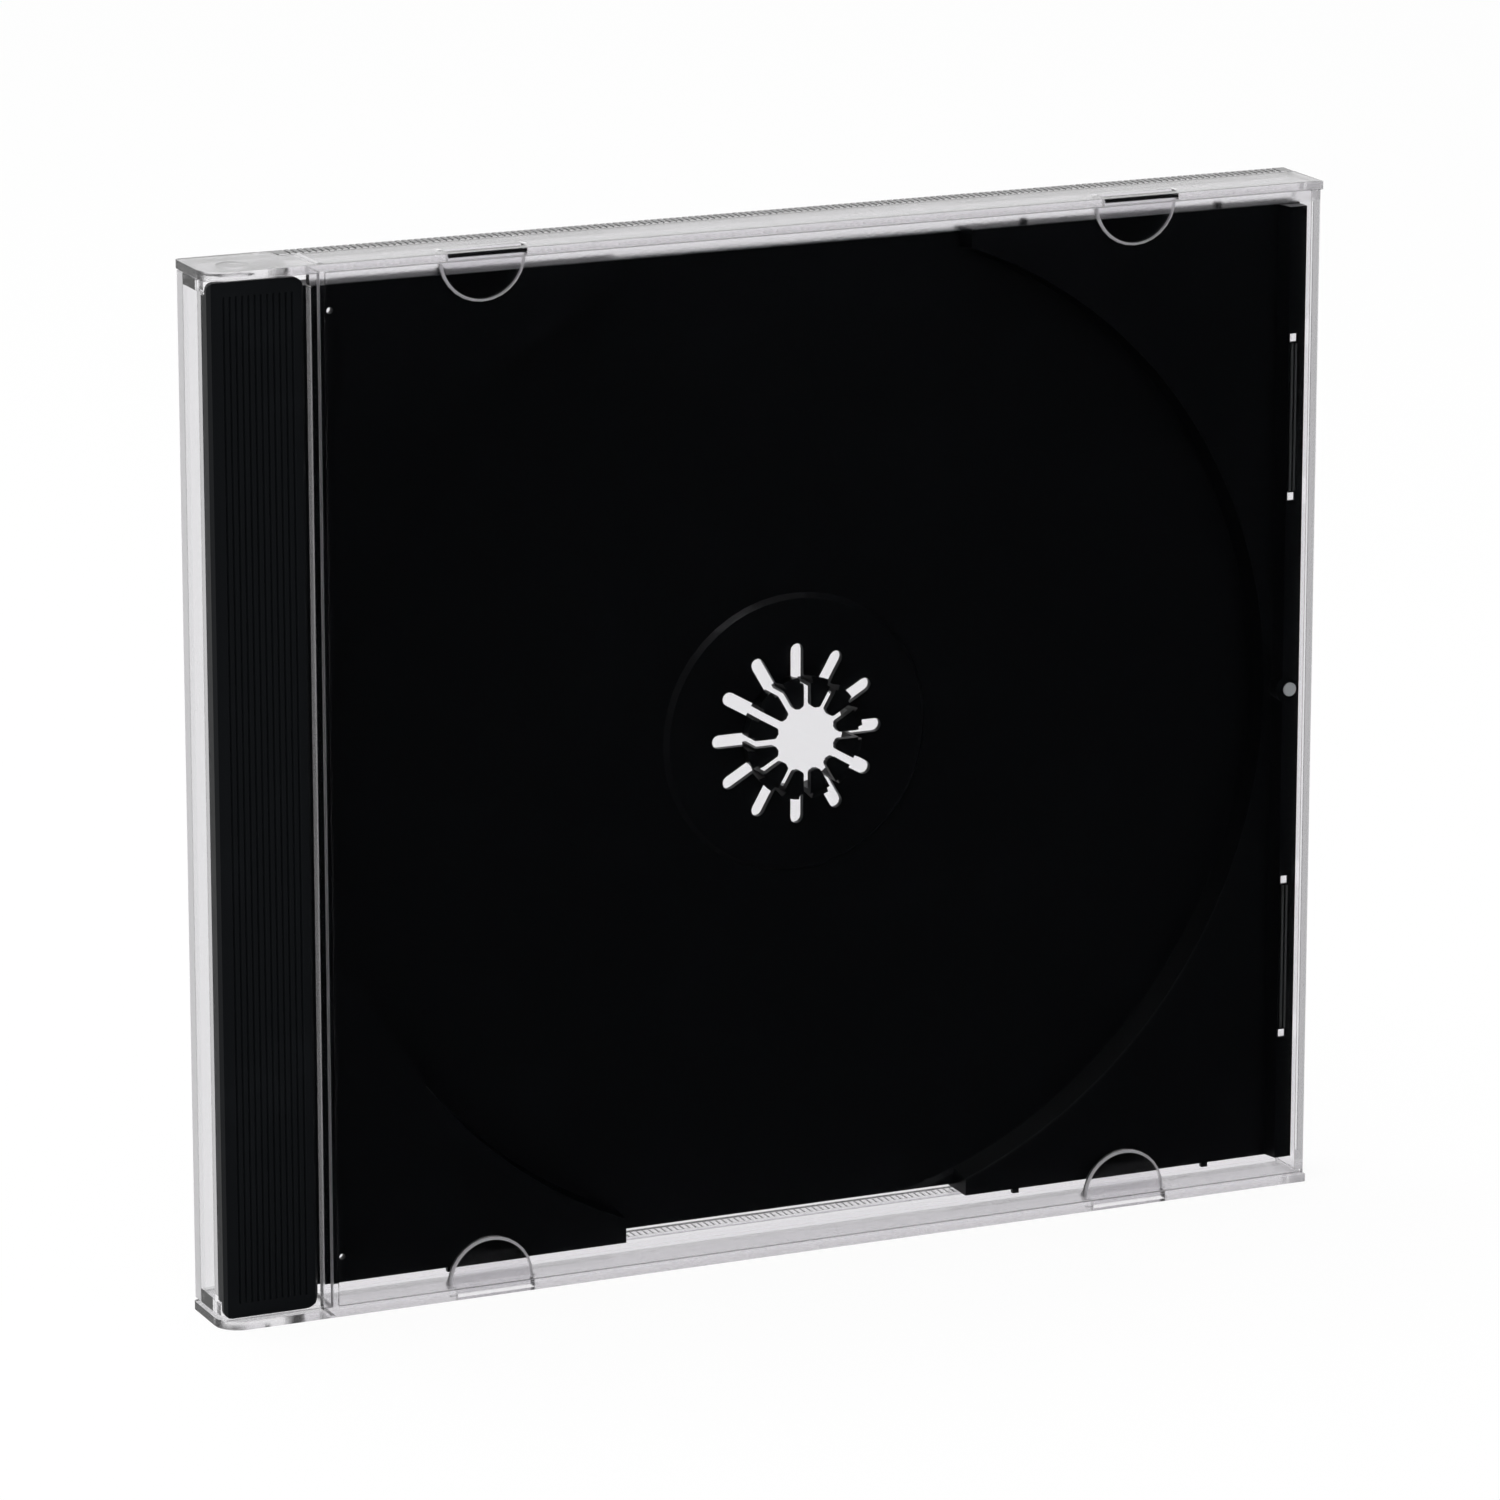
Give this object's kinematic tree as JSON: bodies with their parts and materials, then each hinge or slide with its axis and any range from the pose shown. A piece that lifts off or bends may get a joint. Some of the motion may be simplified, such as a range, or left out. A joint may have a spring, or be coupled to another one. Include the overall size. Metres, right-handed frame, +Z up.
{
  "type": "cd jewel case",
  "caption": "Flat hinged plastic case for a compact disc: clear lid and back, black tray with a slotted snap hub and a ridged spine bar.",
  "frame": {"origin": "middle of the case's footprint as it stands closed on its long lower edge, on the surface that it stands on", "axes": "+Z up along the spine, +X from the spine to the free edge, -Y out of the front of the closed lid"},
  "size_m": [0.142, 0.0102, 0.125],
  "materials": {
    "clear_lid": "clear moulded polystyrene, polished",
    "clear_back": "clear moulded polystyrene, polished",
    "black_tray": "black moulded polystyrene, satin gloss"
  },
  "bodies": {
    "case": {"back_shell": "clear_back", "disc_tray": "black_tray"},
    "lid": {"front_lid": "clear_lid"}
  },
  "joints": [
    {"name": "lid_hinge", "type": "hinge", "parent": "case", "child": "lid", "pos_m": [-0.0659, 0, 0.0625], "axis": [0, 0, -1], "range_deg": [0, 180]}
  ]
}
